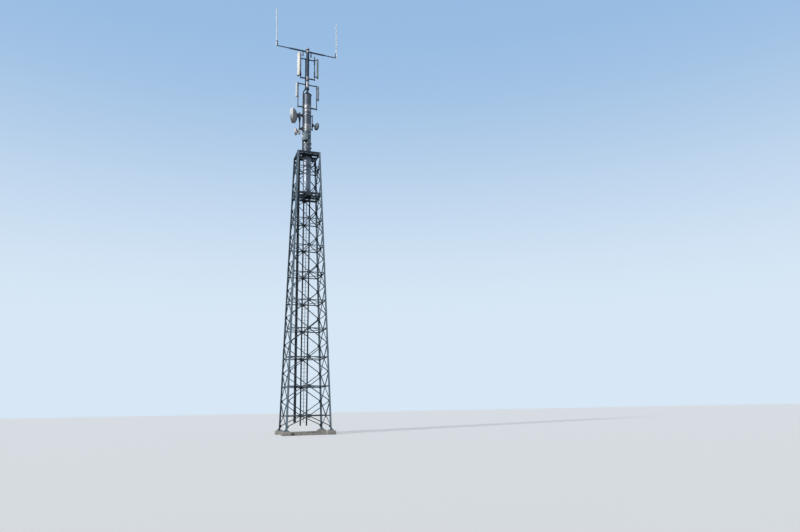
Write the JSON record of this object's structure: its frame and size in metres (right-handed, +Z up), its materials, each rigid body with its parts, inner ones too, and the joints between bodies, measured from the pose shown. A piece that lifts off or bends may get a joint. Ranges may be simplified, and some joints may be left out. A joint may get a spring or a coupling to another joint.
{
  "type": "lattice antenna tower with a tubular mast",
  "caption": "Square tapered steel lattice tower whose head holds a stepped tubular mast with panel antennas, dishes and a whip crossarm.",
  "frame": {"origin": "on the underside of the foundation, on the tower's vertical axis", "axes": "+Z up along the mast; +X to the right along the front face; +Y away from the front face"},
  "size_m": [5.3476, 3.96, 35.3195],
  "materials": {
    "concrete": "weathered concrete",
    "lattice_steel": "weathered hot-dip galvanised",
    "frame_steel": "weathered hot-dip galvanised",
    "mast_steel": "weathered hot-dip galvanised",
    "clamp_steel": "weathered hot-dip galvanised",
    "pole_steel": "weathered hot-dip galvanised",
    "radome": "matte off-white",
    "dish_shell": "matte light grey",
    "box_housing": "matte grey paint",
    "cable_sheath": "matte black"
  },
  "bodies": {
    "root": {"foundation": "concrete", "leg_front_left": "lattice_steel", "leg_front_right": "lattice_steel", "leg_rear_right": "lattice_steel", "leg_rear_left": "lattice_steel", "bracing_front": "lattice_steel", "bracing_right": "lattice_steel", "bracing_rear": "lattice_steel", "bracing_left": "lattice_steel", "plan_bracing_lower": "lattice_steel", "plan_bracing_upper": "lattice_steel", "head_frame": "frame_steel", "mast_foot_frame": "frame_steel", "mast_lower_tube": "mast_steel", "mast_cap": "clamp_steel", "mast_upper_tube": "mast_steel", "mast_bands": "clamp_steel", "mast_box": "box_housing", "crossarm": "pole_steel", "crossarm_clamp": "clamp_steel", "whip_left": "radome", "whip_right": "radome", "upper_arms": "clamp_steel", "lower_arms": "clamp_steel", "upper_pole_left": "pole_steel", "upper_pole_right": "pole_steel", "lower_pole_left": "pole_steel", "lower_pole_right": "pole_steel", "upper_panel_left": "radome", "upper_panel_right": "radome", "lower_panel_left": "radome", "lower_panel_right": "radome", "dish_collars": "clamp_steel", "dish_pole_left": "pole_steel", "dish_pole_right": "pole_steel", "dish_large": "dish_shell", "dish_small_left": "dish_shell", "dish_small_right": "dish_shell", "climbing_ladder": "frame_steel", "fall_arrest_rail": "frame_steel", "cable_ladder": "frame_steel", "feeder_cables": "cable_sheath"}
  },
  "joints": []
}
